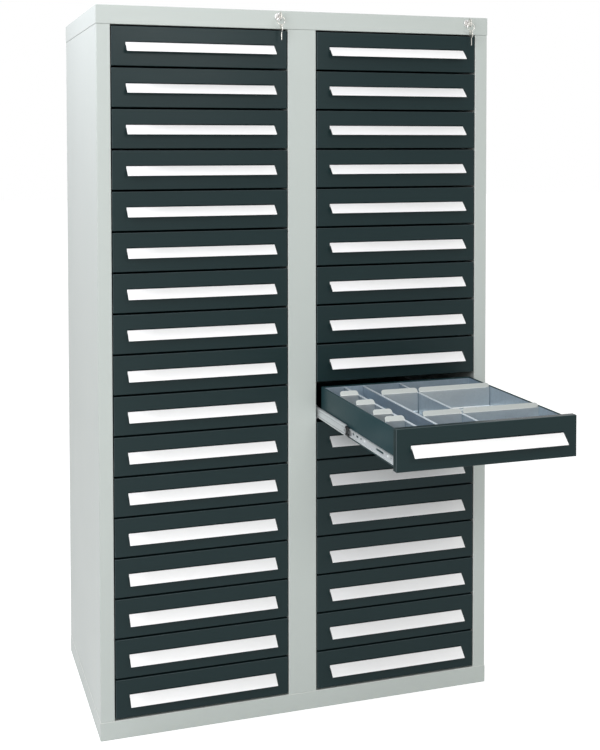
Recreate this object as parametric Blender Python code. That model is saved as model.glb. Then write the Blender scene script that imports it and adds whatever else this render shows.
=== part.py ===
"""Industrial drawer cabinet: two columns of seventeen drawers on full-extension slides.

The origin is on the floor, in the middle of the base. X runs to the right, Y from the
fronts to the back and Z up. The tenth drawer of the right column stands open.
"""

import math

import bmesh
import bpy
from mathutils import Matrix, Vector

# Cabinet
ROW_COUNT = 17
DRAWER_PITCH = 0.100
OPENING_WIDTH = 0.448
STILE_WIDTH = 0.0345
POST_WIDTH = 0.075
CABINET_DEPTH = 0.560
CAP_HEIGHT = 0.046
CAP_CLEARANCE = 0.002
CAP_OVERHANG = 0.0012
CAP_FLANGE = 0.020
CABINET_SHEET = 0.0015
UPRIGHT_SETBACK = 0.0005
SEAT_GAP = 0.0003
CUT_OVERRUN = 0.004
WELD_SINK = 0.0005

# Drawer
DRAWER_BACK_CLEARANCE = 0.040
DRAWER_SHEET = 0.0012
FRONT_THICKNESS = 0.018
FRONT_GAP = 0.0025
FRONT_FLANGE = 0.020
FRONT_HEAD_FLANGE = 0.006
TRAY_FLOOR_HEIGHT = 0.004
TRAY_TOP_HEIGHT = 0.090
OPEN_COLUMN = "right"
OPEN_ROW = 10

# Grip strip on each front
GRIP_LENGTH = 0.375
GRIP_TOP_HEIGHT = 0.0585
GRIP_DROP = 0.021
GRIP_REACH = 0.024
GRIP_BULGE = 0.003
GRIP_SHEET = 0.002
GRIP_FOOT = 0.007
GRIP_STEPS = 5

# Ball-bearing slides
SLIDE_SETBACK = 0.020
SLIDE_BACK_CLEARANCE = 0.025
SLIDE_AXIS_HEIGHT = 0.021
CABINET_MEMBER_THICKNESS = 0.0042
CABINET_MEMBER_HEIGHT = 0.035
MIDDLE_MEMBER_THICKNESS = 0.0040
MIDDLE_MEMBER_HEIGHT = 0.027
MIDDLE_SETBACK = 0.002
MIDDLE_TRAVEL_SHARE = 0.42
DRAWER_MEMBER_THICKNESS = 0.0040
DRAWER_MEMBER_HEIGHT = 0.018
MEMBER_GAP = 0.0004

# Divider insert of the open drawer
DIVIDER_SHEET = 0.0012
DIVIDER_TOP_HEIGHT = 0.084
DIVIDER_PLACE_SHARES = (0.153, 0.276, 0.519)
NARROW_PLATE_PLACE_SHARES = (0.21, 0.355, 0.575, 0.795)
WIDE_PLATE_PLACE_SHARES = (0.255, 0.76)
PLATE_BEND_HEIGHT = 0.0855
PLATE_LIP = 0.013
PLATE_LIP_ANGLE = math.radians(40)

# Locks
LOCK_INSET = 0.025
LOCK_DROP = 0.016
BARREL_RADIUS = 0.008
BARREL_LENGTH = 0.024
BARREL_FLANGE_RADIUS = 0.0098
BARREL_FLANGE_THICKNESS = 0.0025
PLUG_RADIUS = 0.006
PLUG_FIT = 0.0003
KEYWAY_DEPTH = 0.020
KEY_THICKNESS = 0.002
KEY_BLADE_HEIGHT = 0.007
KEY_BLADE_LENGTH = 0.018
KEY_NECK_LENGTH = 0.004
KEY_BOW_RADIUS = 0.011
KEY_HOLE_RADIUS = 0.003
KEY_HOLE_REACH = 0.0065
KEYWAY_FIT = 0.0004
CAM_RADIUS = 0.010
CAM_WIDTH = 0.007
CAM_THICKNESS = 0.002
CAM_PIN_RADIUS = 0.002
CAM_PIN_LENGTH = 0.004
CAM_REST_ANGLE = math.radians(45)
LOCK_BAR_THICKNESS = 0.003
LOCK_BAR_WIDTH = 0.020
LOCK_BAR_FOOT = 0.022
LOCK_LUG_LENGTH = 0.0055
LOCK_LUG_HEIGHT = 0.008
TONGUE_THICKNESS = 0.002
TONGUE_RIM = 0.002
PIN_SLOT_PLAY = 0.0006
RING_RADIUS = 0.011
RING_WIRE_RADIUS = 0.0008
SPARE_BLADE_LENGTH = 0.021

ROUND_SEGMENTS = 20
RING_SEGMENTS = 16
WIRE_SEGMENTS = 6

# Places worked out from the sizes above
ZONE_BOTTOM = CAP_HEIGHT + CAP_CLEARANCE
ZONE_TOP = ZONE_BOTTOM + ROW_COUNT * DRAWER_PITCH
CABINET_HEIGHT = ZONE_TOP + CAP_CLEARANCE + CAP_HEIGHT
FRONT_PLANE = -CABINET_DEPTH / 2
BACK_PLANE = CABINET_DEPTH / 2
DRAWER_LENGTH = CABINET_DEPTH - DRAWER_BACK_CLEARANCE
OPEN_TRAVEL = DRAWER_LENGTH
SLIDE_LENGTH = CABINET_DEPTH - SLIDE_SETBACK - SLIDE_BACK_CLEARANCE
COLUMN_LEFT = {"left": -POST_WIDTH / 2 - OPENING_WIDTH, "right": POST_WIDTH / 2}
BODY_HALF_WIDTH = POST_WIDTH / 2 + OPENING_WIDTH + STILE_WIDTH
CAP_HALF_WIDTH = BODY_HALF_WIDTH + CAP_OVERHANG
UPRIGHT_FOOT = CAP_HEIGHT + SEAT_GAP
UPRIGHT_HEAD = CABINET_HEIGHT - CAP_HEIGHT - SEAT_GAP
TWO_PART_THICKNESS = CABINET_MEMBER_THICKNESS + MEMBER_GAP + MIDDLE_MEMBER_THICKNESS
TRAY_SIDE_GAP = TWO_PART_THICKNESS + MEMBER_GAP + DRAWER_MEMBER_THICKNESS
LOCK_HEIGHT = CABINET_HEIGHT - LOCK_DROP
LOCK_NOSE = -BARREL_FLANGE_THICKNESS - SEAT_GAP
CAM_PLANE = BARREL_LENGTH + SEAT_GAP
TONGUE_PLANE = CAM_PLANE + CAM_THICKNESS + SEAT_GAP
BOW_CENTRE = LOCK_NOSE - KEY_NECK_LENGTH - KEY_BOW_RADIUS
KEY_HOLE_PLACE = BOW_CENTRE - KEY_HOLE_REACH


def clear_scene():
    for item in list(bpy.data.objects):
        bpy.data.objects.remove(item, do_unlink=True)


def paint(name, colour, roughness, metallic):
    """Returns a plain Principled material."""
    material = bpy.data.materials.new(name)
    material.use_nodes = True
    shader = material.node_tree.nodes["Principled BSDF"]
    shader.inputs["Base Color"].default_value = (*colour, 1)
    shader.inputs["Roughness"].default_value = roughness
    shader.inputs["Metallic"].default_value = metallic
    material.diffuse_color = (*colour, 1)
    return material


def finished_mesh(name, bm):
    """Turns a bmesh into a mesh whose faces point out."""
    bmesh.ops.recalc_face_normals(bm, faces=bm.faces)
    mesh = bpy.data.meshes.new(name)
    bm.to_mesh(mesh)
    bm.free()
    return mesh


def boxes(name, spans):
    """Returns a mesh of boxes, each given by its low and high ends along X, Y and Z."""
    bm = bmesh.new()
    for x, y, z in spans:
        sides = Matrix.Diagonal((x[1] - x[0], y[1] - y[0], z[1] - z[0], 1))
        middle = Vector((x[0] + x[1], y[0] + y[1], z[0] + z[1])) / 2
        bmesh.ops.create_cube(bm, size=1, matrix=Matrix.Translation(middle) @ sides)
    return finished_mesh(name, bm)


def round_bar(name, radius, y_span, centre=(0, 0)):
    """Returns a cylinder along Y, centred on an X and Z place."""
    bm = bmesh.new()
    middle = Vector((centre[0], (y_span[0] + y_span[1]) / 2, centre[1]))
    turn = Matrix.Rotation(math.radians(90), 4, "X")
    bmesh.ops.create_cone(
        bm,
        cap_ends=True,
        segments=ROUND_SEGMENTS,
        radius1=radius,
        radius2=radius,
        depth=y_span[1] - y_span[0],
        matrix=Matrix.Translation(middle) @ turn,
    )
    return finished_mesh(name, bm)


def disc_across(name, radius, thickness, centre):
    """Returns a flat disc that faces along X."""
    bm = bmesh.new()
    turn = Matrix.Rotation(math.radians(90), 4, "Y")
    bmesh.ops.create_cone(
        bm,
        cap_ends=True,
        segments=ROUND_SEGMENTS,
        radius1=radius,
        radius2=radius,
        depth=thickness,
        matrix=Matrix.Translation(Vector(centre)) @ turn,
    )
    return finished_mesh(name, bm)


def prism(name, outline, x_span):
    """Returns an outline of Y and Z points drawn out along X."""
    bm = bmesh.new()
    corners = [bm.verts.new((x_span[0], y, z)) for y, z in outline]
    face = bm.faces.new(corners)
    drawn = bmesh.ops.extrude_face_region(bm, geom=[face])["geom"]
    moved = [item for item in drawn if isinstance(item, bmesh.types.BMVert)]
    bmesh.ops.translate(bm, verts=moved, vec=(x_span[1] - x_span[0], 0, 0))
    return finished_mesh(name, bm)


def boolean(mesh, tool, operation):
    """Returns the mesh after a union with the tool, or after the tool has cut it."""
    subject = bpy.data.objects.new("subject", mesh)
    helper = bpy.data.objects.new("helper", tool)
    for item in (subject, helper):
        bpy.context.scene.collection.objects.link(item)
    step = subject.modifiers.new("step", "BOOLEAN")
    step.operation = operation
    step.object = helper
    bpy.context.view_layer.update()
    evaluated = subject.evaluated_get(bpy.context.evaluated_depsgraph_get())
    result = bpy.data.meshes.new_from_object(evaluated)
    for item in (subject, helper):
        bpy.data.objects.remove(item, do_unlink=True)
    return result


def joined(mesh, *tools):
    for tool in tools:
        mesh = boolean(mesh, tool, "UNION")
    return mesh


def cut(mesh, *tools):
    for tool in tools:
        mesh = boolean(mesh, tool, "DIFFERENCE")
    return mesh


def place(name, mesh, material, location=(0, 0, 0), parent=None, smooth=False):
    """Puts a mesh into the scene as a named piece."""
    piece = bpy.data.objects.new(name, mesh)
    bpy.context.scene.collection.objects.link(piece)
    if not mesh.materials:
        mesh.materials.append(material)
    if smooth:
        mesh.shade_smooth()
        mesh.set_sharp_from_angle(angle=math.radians(30))
    piece.location = location
    piece.parent = parent
    return piece


def cell_corner(column, row):
    """The lower left corner of a drawer's cell, in the plane of the fronts."""
    return Vector((COLUMN_LEFT[column], FRONT_PLANE, ZONE_TOP - row * DRAWER_PITCH))


# Carcass


def cap_pan(name):
    """A folded pan with its plate at the bottom and a flange turned in round its top."""
    outer = boxes(
        name,
        [((-CAP_HALF_WIDTH, CAP_HALF_WIDTH), (FRONT_PLANE, BACK_PLANE), (0, CAP_HEIGHT))],
    )
    inner_x = CAP_HALF_WIDTH - CABINET_SHEET
    inner_y = BACK_PLANE - CABINET_SHEET
    inner_z = (CABINET_SHEET, CAP_HEIGHT - CABINET_SHEET)
    inside = boxes("inside", [((-inner_x, inner_x), (-inner_y, inner_y), inner_z)])
    mouth_x = CAP_HALF_WIDTH - CAP_FLANGE
    mouth_y = BACK_PLANE - CAP_FLANGE
    mouth_z = (CAP_HEIGHT / 2, CAP_HEIGHT + CUT_OVERRUN)
    mouth = boxes("mouth", [((-mouth_x, mouth_x), (-mouth_y, mouth_y), mouth_z)])
    return cut(outer, joined(inside, mouth))


def make_base(material):
    place("base_plinth", cap_pan("base_plinth"), material)


def make_top_cover(material):
    pan = cap_pan("top_cover")
    pan.transform(Matrix.Rotation(math.radians(180), 4, "Y"))
    pan.transform(Matrix.Translation((0, 0, CABINET_HEIGHT)))
    hole_radius = BARREL_RADIUS + SEAT_GAP
    for column in COLUMN_LEFT:
        hole = round_bar(
            "hole",
            hole_radius,
            (FRONT_PLANE - CUT_OVERRUN, FRONT_PLANE + CUT_OVERRUN),
            (lock_place(column), LOCK_HEIGHT),
        )
        pan = cut(pan, hole)
    place("top_cover", pan, material)


def runner_span(face, direction, row, column):
    """The box of the slide member that is screwed to an upright's face in one cell."""
    is_open = column == OPEN_COLUMN and row == OPEN_ROW
    thickness = CABINET_MEMBER_THICKNESS if is_open else TWO_PART_THICKNESS
    x = sorted((face - direction * WELD_SINK, face + direction * thickness))
    start = FRONT_PLANE + SLIDE_SETBACK
    axis = cell_corner(column, row).z + SLIDE_AXIS_HEIGHT
    half = CABINET_MEMBER_HEIGHT / 2
    return (x, (start, start + SLIDE_LENGTH), (axis - half, axis + half))


def make_upright(name, x_span, runner_faces, material):
    """A box-section upright, open at both ends, with its slide members."""
    y = (FRONT_PLANE + UPRIGHT_SETBACK, BACK_PLANE - CABINET_SHEET - SEAT_GAP)
    tube = boxes(name, [(x_span, y, (UPRIGHT_FOOT, UPRIGHT_HEAD))])
    hollow_x = (x_span[0] + CABINET_SHEET, x_span[1] - CABINET_SHEET)
    hollow_y = (y[0] + CABINET_SHEET, y[1] - CABINET_SHEET)
    hollow_z = (UPRIGHT_FOOT - CUT_OVERRUN, UPRIGHT_HEAD + CUT_OVERRUN)
    tube = cut(tube, boxes("hollow", [(hollow_x, hollow_y, hollow_z)]))
    runners = [
        runner_span(face, direction, row, column)
        for face, direction, column in runner_faces
        for row in range(1, ROW_COUNT + 1)
    ]
    place(name, joined(tube, boxes("runners", runners)), material)


def make_uprights(material):
    left_edge = COLUMN_LEFT["left"]
    right_edge = COLUMN_LEFT["right"] + OPENING_WIDTH
    half_post = POST_WIDTH / 2
    make_upright(
        "side_panel_left", (-BODY_HALF_WIDTH, left_edge), [(left_edge, 1, "left")], material
    )
    make_upright(
        "side_panel_right", (right_edge, BODY_HALF_WIDTH), [(right_edge, -1, "right")], material
    )
    make_upright(
        "centre_post",
        (-half_post, half_post),
        [(-half_post, -1, "left"), (half_post, 1, "right")],
        material,
    )


def make_back(material):
    y = (BACK_PLANE - CABINET_SHEET, BACK_PLANE)
    x = (-BODY_HALF_WIDTH, BODY_HALF_WIDTH)
    place("back_panel", boxes("back_panel", [(x, y, (UPRIGHT_FOOT, UPRIGHT_HEAD))]), material)


# Drawers, drawn in their cell: X from the opening's left edge, Y from the front's face


def front_shell():
    """A front folded from sheet: a face, four returns and a flange round the back.

    The flange is narrow at the head, so the fold stays open above the tray's front wall.
    """
    x = (FRONT_GAP, OPENING_WIDTH - FRONT_GAP)
    z = (FRONT_GAP, DRAWER_PITCH - FRONT_GAP)
    block = boxes("front", [(x, (0, FRONT_THICKNESS), z)])
    inside = boxes(
        "inside",
        [
            (
                (x[0] + DRAWER_SHEET, x[1] - DRAWER_SHEET),
                (DRAWER_SHEET, FRONT_THICKNESS - DRAWER_SHEET),
                (z[0] + DRAWER_SHEET, z[1] - DRAWER_SHEET),
            )
        ],
    )
    mouth = boxes(
        "mouth",
        [
            (
                (x[0] + FRONT_FLANGE, x[1] - FRONT_FLANGE),
                (FRONT_THICKNESS / 2, FRONT_THICKNESS + CUT_OVERRUN),
                (z[0] + FRONT_FLANGE, z[1] - FRONT_HEAD_FLANGE),
            )
        ],
    )
    return cut(block, joined(inside, mouth))


def tray_shell(front_y):
    """An open tray from the given front wall to the drawer's back."""
    x = (TRAY_SIDE_GAP, OPENING_WIDTH - TRAY_SIDE_GAP)
    block = boxes("tray", [(x, (front_y, DRAWER_LENGTH), (TRAY_FLOOR_HEIGHT, TRAY_TOP_HEIGHT))])
    inside_x = (x[0] + DRAWER_SHEET, x[1] - DRAWER_SHEET)
    inside_y = (front_y + DRAWER_SHEET, DRAWER_LENGTH - DRAWER_SHEET)
    inside_z = (TRAY_FLOOR_HEIGHT + DRAWER_SHEET, TRAY_TOP_HEIGHT + CUT_OVERRUN)
    return cut(block, boxes("inside", [(inside_x, inside_y, inside_z)]))


def grip_strip(root_y):
    """A thin strip whose foot lies on the front, and which bulges out and down from it."""
    run = GRIP_REACH - GRIP_SHEET
    chord = math.hypot(run, GRIP_DROP)
    radius = chord**2 / (8 * GRIP_BULGE) + GRIP_BULGE / 2
    half_turn = math.asin(chord / 2 / radius)
    bulge_angle = math.atan2(run, -GRIP_DROP)
    inset = radius - GRIP_BULGE
    centre_y = -GRIP_SHEET - run / 2 - inset * math.cos(bulge_angle)
    centre_z = GRIP_TOP_HEIGHT - GRIP_DROP / 2 - inset * math.sin(bulge_angle)
    shares = [2 * step / GRIP_STEPS - 1 for step in range(GRIP_STEPS + 1)]
    angles = [bulge_angle + half_turn * share for share in shares]

    def arc(reach, turns):
        return [(centre_y + reach * math.cos(a), centre_z + reach * math.sin(a)) for a in turns]

    outline = [(root_y, GRIP_TOP_HEIGHT)]
    outline += arc(radius, angles)
    outline += arc(radius - GRIP_SHEET, reversed(angles))
    outline += [(-GRIP_SHEET, GRIP_TOP_HEIGHT - GRIP_FOOT), (root_y, GRIP_TOP_HEIGHT - GRIP_FOOT)]
    start = (OPENING_WIDTH - GRIP_LENGTH) / 2
    return prism("grip", outline, (start, start + GRIP_LENGTH))


def member_span(side, near, thickness, height, y):
    """A slide member's box on the left (-1) or right (1) side, at a depth from the wall."""
    if side < 0:
        x = (near, near + thickness)
    else:
        x = (OPENING_WIDTH - near - thickness, OPENING_WIDTH - near)
    return (x, y, (SLIDE_AXIS_HEIGHT - height / 2, SLIDE_AXIS_HEIGHT + height / 2))


def drawer_member_span(side, thickness):
    """The slide member on the tray's wall, which runs to the tray's back."""
    near = TWO_PART_THICKNESS + MEMBER_GAP
    y = (SLIDE_SETBACK, DRAWER_LENGTH)
    return member_span(side, near, thickness, DRAWER_MEMBER_HEIGHT, y)


def closed_drawer_mesh():
    """The whole drawer as one welded piece: front, grip, tray and its slide members."""
    mesh = joined(front_shell(), tray_shell(FRONT_THICKNESS - WELD_SINK), grip_strip(WELD_SINK))
    thickness = DRAWER_MEMBER_THICKNESS + WELD_SINK
    spans = [drawer_member_span(side, thickness) for side in (-1, 1)]
    return joined(mesh, boxes("members", spans))


def make_closed_drawers(material):
    mesh = closed_drawer_mesh()
    for column in COLUMN_LEFT:
        for row in range(1, ROW_COUNT + 1):
            if column == OPEN_COLUMN and row == OPEN_ROW:
                continue
            place(f"drawer_{column}_{row:02d}", mesh, material, cell_corner(column, row))


def make_open_drawer(front_paint, grip_metal, slide_metal):
    """The open drawer in its real pieces, under an empty that slides along Y."""
    corner = cell_corner(OPEN_COLUMN, OPEN_ROW)
    slider = bpy.data.objects.new("open_drawer_slider", None)
    bpy.context.scene.collection.objects.link(slider)
    slider.location = corner - Vector((0, OPEN_TRAVEL, 0))
    place("open_drawer_front", front_shell(), front_paint, parent=slider)
    tray = tray_shell(FRONT_THICKNESS + SEAT_GAP)
    place("open_drawer_tray", tray, front_paint, parent=slider)
    place("open_drawer_grip", grip_strip(-SEAT_GAP), grip_metal, parent=slider)
    for side, word in ((-1, "left"), (1, "right")):
        span = drawer_member_span(side, DRAWER_MEMBER_THICKNESS - SEAT_GAP)
        name = f"slide_drawer_member_{word}"
        place(name, boxes(name, [span]), slide_metal, parent=slider)
    make_middle_members(corner, slide_metal)
    return slider


def make_middle_members(corner, slide_metal):
    """The members between cabinet and drawer, which travel a share of the way."""
    start = SLIDE_SETBACK + MIDDLE_SETBACK - OPEN_TRAVEL * MIDDLE_TRAVEL_SHARE
    y = (start, start + SLIDE_LENGTH)
    near = CABINET_MEMBER_THICKNESS + MEMBER_GAP
    for side, word in ((-1, "left"), (1, "right")):
        name = f"slide_middle_member_{word}"
        span = member_span(side, near, MIDDLE_MEMBER_THICKNESS, MIDDLE_MEMBER_HEIGHT, y)
        place(name, boxes(name, [span]), slide_metal, corner)


# Divider insert, in the open drawer's own frame


def tray_inside():
    """The tray's clear inside along X and Y, and its floor and the dividers' top in Z."""
    side = TRAY_SIDE_GAP + DRAWER_SHEET
    front = FRONT_THICKNESS + SEAT_GAP + DRAWER_SHEET
    floor = TRAY_FLOOR_HEIGHT + DRAWER_SHEET + SEAT_GAP
    x = (side, OPENING_WIDTH - side)
    return x, (front, DRAWER_LENGTH - DRAWER_SHEET), (floor, DIVIDER_TOP_HEIGHT)


def long_divider_span(index):
    x, y, z = tray_inside()
    middle = x[0] + (x[1] - x[0]) * DIVIDER_PLACE_SHARES[index]
    half = DIVIDER_SHEET / 2
    return ((middle - half, middle + half), (y[0] + SEAT_GAP, y[1] - SEAT_GAP), z)


def cross_plate(x_span, place_share):
    """An upright plate across one row. Its lip stands over the dividers, bent back to face up."""
    y, z = tray_inside()[1:]
    top_y = y[0] + (y[1] - y[0]) * place_share
    lip_out = PLATE_LIP * math.sin(PLATE_LIP_ANGLE)
    lip_top = PLATE_BEND_HEIGHT + PLATE_LIP * math.cos(PLATE_LIP_ANGLE)
    skin_y = DIVIDER_SHEET * math.cos(PLATE_LIP_ANGLE)
    skin_z = DIVIDER_SHEET * math.sin(PLATE_LIP_ANGLE)
    back_y = top_y + DIVIDER_SHEET
    outline = [
        (top_y, z[0]),
        (top_y, PLATE_BEND_HEIGHT),
        (back_y + lip_out - skin_y, lip_top),
        (back_y + lip_out, lip_top - skin_z),
        (back_y, PLATE_BEND_HEIGHT - skin_z),
        (back_y, z[0]),
    ]
    return prism("plate", outline, x_span)


def make_dividers(slider, metal):
    """Three long dividers, with each row's cross plates welded to the divider beside it."""
    first, second, third = (long_divider_span(index) for index in range(len(DIVIDER_PLACE_SHARES)))
    x = tray_inside()[0]
    narrow = (x[0] + SEAT_GAP, first[0][0] + WELD_SINK)
    medium = (second[0][1] + SEAT_GAP, third[0][0] + WELD_SINK)
    wide = (third[0][1] - WELD_SINK, x[1] - SEAT_GAP)
    narrow_plates = [cross_plate(narrow, share) for share in NARROW_PLATE_PLACE_SHARES]
    wide_plates = [
        cross_plate(row, share) for row in (medium, wide) for share in WIDE_PLATE_PLACE_SHARES
    ]
    narrow_insert = joined(boxes("first", [first]), *narrow_plates)
    place("divider_narrow_row", narrow_insert, metal, parent=slider)
    place("divider_plain", boxes("second", [second]), metal, parent=slider)
    wide_insert = joined(boxes("third", [third]), *wide_plates)
    place("divider_wide_rows", wide_insert, metal, parent=slider)


# Locks, drawn round the lock's axis in the plane of the cap's front


def lock_place(column):
    return COLUMN_LEFT[column] + OPENING_WIDTH - LOCK_INSET


def barrel_mesh():
    flange = round_bar("barrel", BARREL_FLANGE_RADIUS, (LOCK_NOSE, -SEAT_GAP))
    body = round_bar("body", BARREL_RADIUS, (LOCK_NOSE / 2, BARREL_LENGTH))
    bore_y = (LOCK_NOSE - CUT_OVERRUN, BARREL_LENGTH + CUT_OVERRUN)
    bore = round_bar("bore", PLUG_RADIUS + PLUG_FIT, bore_y)
    return cut(joined(flange, body), bore)


def plug_mesh():
    """The turning plug with its keyway, the cam behind it and the cam's pin."""
    cam_y = (CAM_PLANE, CAM_PLANE + CAM_THICKNESS)
    plug = round_bar("plug", PLUG_RADIUS, (LOCK_NOSE, cam_y[0] + CAM_THICKNESS / 2))
    reach = CAM_RADIUS + CAM_WIDTH / 2
    arm = boxes("arm", [((-CAM_WIDTH / 2, reach), cam_y, (-CAM_WIDTH / 2, CAM_WIDTH / 2))])
    pin_y = (cam_y[0] + CAM_THICKNESS / 2, cam_y[1] + CAM_PIN_LENGTH)
    pin = round_bar("pin", CAM_PIN_RADIUS, pin_y, (CAM_RADIUS, 0))
    cam = joined(arm, pin)
    cam.transform(Matrix.Rotation(-CAM_REST_ANGLE, 4, "Y"))
    half_x = KEY_THICKNESS / 2 + PLUG_FIT
    half_z = KEY_BLADE_HEIGHT / 2 + KEYWAY_FIT
    slot_y = (LOCK_NOSE - CUT_OVERRUN, LOCK_NOSE + KEYWAY_DEPTH)
    slot = boxes("slot", [((-half_x, half_x), slot_y, (-half_z, half_z))])
    return cut(joined(plug, cam), slot)


def key_mesh():
    bow = disc_across("key", KEY_BOW_RADIUS, KEY_THICKNESS, (0, BOW_CENTRE, 0))
    blade_x = (-KEY_THICKNESS / 2, KEY_THICKNESS / 2)
    blade_z = (-KEY_BLADE_HEIGHT / 2, KEY_BLADE_HEIGHT / 2)
    blade = boxes("blade", [(blade_x, (BOW_CENTRE, LOCK_NOSE + KEY_BLADE_LENGTH), blade_z)])
    hole = disc_across("hole", KEY_HOLE_RADIUS, KEY_THICKNESS + CUT_OVERRUN, (0, KEY_HOLE_PLACE, 0))
    return cut(joined(bow, blade), hole)


def ring_mesh(centre_z):
    """A wire ring that faces the front."""
    bm = bmesh.new()
    turn = 2 * math.pi / RING_SEGMENTS
    loops = []
    for step in range(RING_SEGMENTS):
        out = Vector((math.sin(step * turn), 0, math.cos(step * turn)))
        loop = []
        for part in range(WIRE_SEGMENTS):
            angle = 2 * math.pi * part / WIRE_SEGMENTS
            across = out * math.cos(angle) + Vector((0, math.sin(angle), 0))
            loop.append(bm.verts.new(out * RING_RADIUS + across * RING_WIRE_RADIUS))
        loops.append(loop)
    for step, loop in enumerate(loops):
        following = loops[(step + 1) % RING_SEGMENTS]
        for part in range(WIRE_SEGMENTS):
            beside = (part + 1) % WIRE_SEGMENTS
            bm.faces.new((loop[part], following[part], following[beside], loop[beside]))
    bmesh.ops.translate(bm, verts=bm.verts, vec=(0, 0, centre_z))
    return finished_mesh("ring", bm)


def spare_mesh():
    """The ring and the key that hangs from it, drawn round the ring's pivot in the bow."""
    ring = ring_mesh(-RING_RADIUS)
    bow_z = -2 * RING_RADIUS + KEY_HOLE_REACH - KEY_BOW_RADIUS
    bow = disc_across("bow", KEY_BOW_RADIUS, KEY_THICKNESS, (0, 0, bow_z))
    blade_x = (-KEY_THICKNESS / 2, KEY_THICKNESS / 2)
    blade_y = (-KEY_BLADE_HEIGHT / 2, KEY_BLADE_HEIGHT / 2)
    blade_z = (bow_z - KEY_BOW_RADIUS - SPARE_BLADE_LENGTH, bow_z)
    blade = boxes("blade", [(blade_x, blade_y, blade_z)])
    return joined(joined(bow, blade), ring)


def lock_bar_mesh(face):
    """The bar inside the upright, with a lug for each drawer and a tongue to the cam.

    X is measured from the lock's axis; face is the upright's face that the lugs meet.
    """
    lug_start = face + CABINET_SHEET + SEAT_GAP
    bar_x = (lug_start + LOCK_LUG_LENGTH, lug_start + LOCK_LUG_LENGTH + LOCK_BAR_THICKNESS)
    bar_y = (TONGUE_PLANE, TONGUE_PLANE + LOCK_BAR_WIDTH)
    pin_x = CAM_RADIUS * math.cos(CAM_REST_ANGLE)
    pin_z = CAM_RADIUS * math.sin(CAM_REST_ANGLE)
    slot_half = CAM_PIN_RADIUS + PIN_SLOT_PLAY
    tongue_z = (pin_z - slot_half - TONGUE_RIM, pin_z + slot_half + TONGUE_RIM)
    slot_x = (pin_x - slot_half, CAM_RADIUS + slot_half)
    bar_foot = ZONE_BOTTOM + LOCK_BAR_FOOT - LOCK_HEIGHT
    bar = boxes("bar", [(bar_x, bar_y, (bar_foot, tongue_z[1]))])
    tongue_y = (bar_y[0], bar_y[0] + TONGUE_THICKNESS)
    tongue_x = (slot_x[0] - TONGUE_RIM, (bar_x[0] + bar_x[1]) / 2)
    tongue = boxes("tongue", [(tongue_x, tongue_y, tongue_z)])
    slot_y = (tongue_y[0] - CUT_OVERRUN, tongue_y[1] + CUT_OVERRUN)
    slot = boxes("slot", [(slot_x, slot_y, (pin_z - slot_half, pin_z + slot_half))])
    lugs = []
    for row in range(1, ROW_COUNT + 1):
        middle = ZONE_TOP - (row - 1 / 2) * DRAWER_PITCH - LOCK_HEIGHT
        lug_z = (middle - LOCK_LUG_HEIGHT / 2, middle + LOCK_LUG_HEIGHT / 2)
        lug_y = (bar_y[0] + TONGUE_THICKNESS, bar_y[1] - TONGUE_THICKNESS)
        lugs.append(((lug_start, bar_x[0] + WELD_SINK), lug_y, lug_z))
    return joined(bar, cut(tongue, slot), boxes("lugs", lugs))


def make_locks(barrel_metal, key_metal, bar_metal):
    for column in COLUMN_LEFT:
        axis = Vector((lock_place(column), FRONT_PLANE, LOCK_HEIGHT))
        place(f"lock_barrel_{column}", barrel_mesh(), barrel_metal, axis, smooth=True)
        place(f"lock_plug_{column}", plug_mesh(), barrel_metal, axis, smooth=True)
        place(f"key_{column}", key_mesh(), key_metal, axis, smooth=True)
        hang = -KEY_HOLE_RADIUS + RING_WIRE_RADIUS + SEAT_GAP
        pivot = axis + Vector((0, KEY_HOLE_PLACE, hang))
        place(f"spare_key_{column}", spare_mesh(), key_metal, pivot, smooth=True)
        place(f"lock_bar_{column}", lock_bar_mesh(LOCK_INSET), bar_metal, axis)


def build():
    clear_scene()
    body_grey = paint("body_grey", (0.62, 0.64, 0.60), 0.45, 0.0)
    front_anthracite = paint("front_anthracite", (0.045, 0.065, 0.072), 0.45, 0.0)
    grip_aluminium = paint("grip_aluminium", (0.91, 0.91, 0.92), 0.35, 1.0)
    slide_zinc = paint("slide_zinc", (0.62, 0.66, 0.70), 0.30, 1.0)
    divider_zinc = paint("divider_zinc", (0.55, 0.60, 0.65), 0.35, 1.0)
    lock_chrome = paint("lock_chrome", (0.70, 0.70, 0.70), 0.15, 1.0)
    key_nickel = paint("key_nickel", (0.60, 0.58, 0.54), 0.25, 1.0)
    make_base(body_grey)
    make_top_cover(body_grey)
    make_uprights(body_grey)
    make_back(body_grey)
    make_closed_drawers(front_anthracite)
    slider = make_open_drawer(front_anthracite, grip_aluminium, slide_zinc)
    make_dividers(slider, divider_zinc)
    make_locks(lock_chrome, key_nickel, slide_zinc)


build()
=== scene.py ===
import math

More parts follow.
